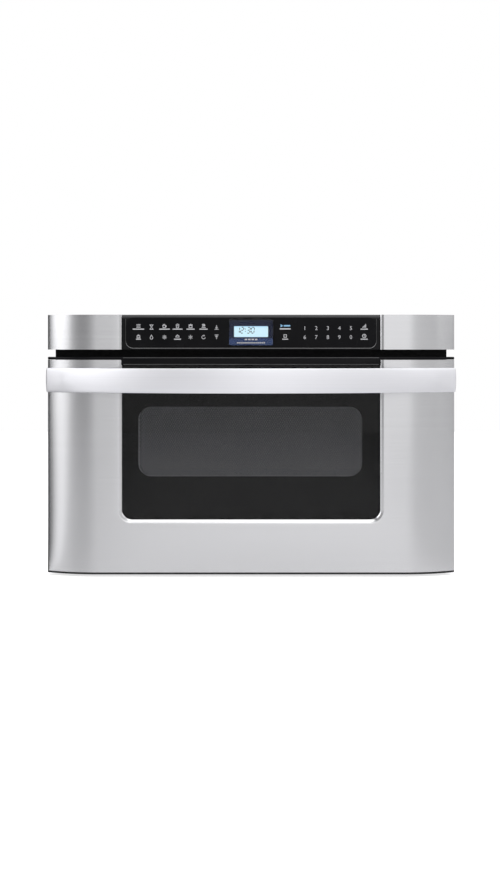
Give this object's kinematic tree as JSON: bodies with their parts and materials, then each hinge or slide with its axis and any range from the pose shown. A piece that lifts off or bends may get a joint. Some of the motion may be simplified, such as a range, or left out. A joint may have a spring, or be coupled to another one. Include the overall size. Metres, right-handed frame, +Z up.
{
  "type": "microwave drawer",
  "caption": "Built-in microwave drawer with a bowed full-width handle, a touch control strip above and a powered drawer on telescopic slides.",
  "frame": {"origin": "middle of the lower front edge of the cabinet opening: on the base's underside, in the plane of the cabinet's face", "axes": "+X to the right as seen from the front, +Y back into the cabinet, +Z up; the drawer opens towards -Y"},
  "size_m": [0.6108, 0.672, 0.387],
  "materials": {
    "stainless": "satin",
    "handle_steel": "satin",
    "zinc_sheet": "galvanised sheet",
    "black_sheet": "satin black",
    "enamel": "pale grey enamel",
    "black_plastic": "matte",
    "gloss_black": "gloss",
    "touch_film": "gloss",
    "display_navy": "gloss",
    "display_cell": "gloss",
    "tinted_glass": "polished",
    "clear_glass": "polished",
    "tub_plastic": "satin",
    "gear_nylon": "satin",
    "white_plastic": "satin",
    "circuit_board": "matte",
    "mica": "matte",
    "iron_core": "varnished laminations",
    "aluminium_can": "drawn"
  },
  "bodies": {
    "chassis": {"base_pan": "zinc_sheet", "outer_case": "zinc_sheet", "rear_panel": "zinc_sheet", "front_frame": "black_sheet", "cord_bushing": "black_plastic", "slide_outer_left": "zinc_sheet", "slide_outer_right": "zinc_sheet", "cavity_box": "enamel", "cavity_lamp": "zinc_sheet", "humidity_sensor": "zinc_sheet", "thermal_cutout": "black_plastic", "waveguide": "zinc_sheet", "waveguide_cover": "mica", "stirrer_motor": "zinc_sheet", "magnetron": "aluminium_can", "fan_shroud": "black_plastic", "fan_motor": "iron_core", "exhaust_duct": "black_plastic", "hv_transformer": "iron_core", "hv_capacitor": "aluminium_can", "noise_filter_board": "circuit_board", "control_housing": "black_plastic", "control_skin_left": "stainless", "control_skin_right": "stainless", "control_bezel": "gloss_black", "touch_plate": "touch_film", "display_lens": "display_navy", "lcd_module": "display_cell", "control_board": "circuit_board", "drive_bracket": "zinc_sheet", "drive_motor": "iron_core", "switch_bracket": "zinc_sheet", "upper_interlock_switch": "black_plastic", "lower_interlock_switch": "black_plastic"},
    "drawer": {"drawer_skin": "stainless", "drawer_top_cap": "gloss_black", "drawer_bottom_trim": "gloss_black", "drawer_glass": "tinted_glass", "window_screen": "black_sheet", "door_frame": "zinc_sheet", "choke_cover": "black_plastic", "inner_window": "clear_glass", "handle": "handle_steel", "handle_bracket_left": "zinc_sheet", "handle_bracket_right": "zinc_sheet", "tub": "tub_plastic", "glass_tray": "clear_glass", "drawer_rail_left": "zinc_sheet", "drawer_rail_right": "zinc_sheet", "rail_crossbar": "zinc_sheet", "slide_inner_left": "zinc_sheet", "slide_inner_right": "zinc_sheet", "rack_bar": "gear_nylon", "latch_hook": "white_plastic"},
    "left_slide_middle": {"slide_middle_left": "zinc_sheet"},
    "right_slide_middle": {"slide_middle_right": "zinc_sheet"},
    "drive_gear": {"drive_gear": "gear_nylon"},
    "motor_pinion": {"motor_pinion": "gear_nylon"},
    "fan_wheel": {"fan_wheel": "white_plastic"},
    "stirrer": {"stirrer_antenna": "aluminium_can"}
  },
  "joints": [
    {"name": "drawer_slide", "type": "slide", "parent": "chassis", "child": "drawer", "axis": [0, -1, 0], "range_m": [0, 0.381]},
    {"name": "left_slide_extension", "type": "slide", "parent": "chassis", "child": "left_slide_middle", "axis": [0, -1, 0], "range_m": [0, 0.1905]},
    {"name": "right_slide_extension", "type": "slide", "parent": "chassis", "child": "right_slide_middle", "axis": [0, -1, 0], "range_m": [0, 0.1905]},
    {"name": "drive_gear_turn", "type": "hinge", "parent": "chassis", "child": "drive_gear", "pos_m": [0, 0.045, 0.06788], "axis": [1, 0, 0], "range_deg": [0, 1285]},
    {"name": "motor_pinion_turn", "type": "hinge", "parent": "chassis", "child": "motor_pinion", "pos_m": [0.014, 0.07628, 0.04982], "axis": [1, 0, 0], "range_deg": [-2570, 0]},
    {"name": "fan_spin", "type": "hinge", "parent": "chassis", "child": "fan_wheel", "pos_m": [-0.066, 0.5, 0.258], "axis": [1, 0, 0], "continuous": true},
    {"name": "stirrer_spin", "type": "hinge", "parent": "chassis", "child": "stirrer", "pos_m": [0, 0.21, 0.3], "axis": [0, 0, 1], "continuous": true}
  ],
  "couplings": [
    {"joint": "left_slide_extension", "follows": "drawer_slide", "ratio": 0.5},
    {"joint": "right_slide_extension", "follows": "drawer_slide", "ratio": 0.5},
    {"joint": "drive_gear_turn", "follows": "drawer_slide", "rad_per_m": 58.824},
    {"joint": "motor_pinion_turn", "follows": "drawer_slide", "rad_per_m": -117.65}
  ]
}
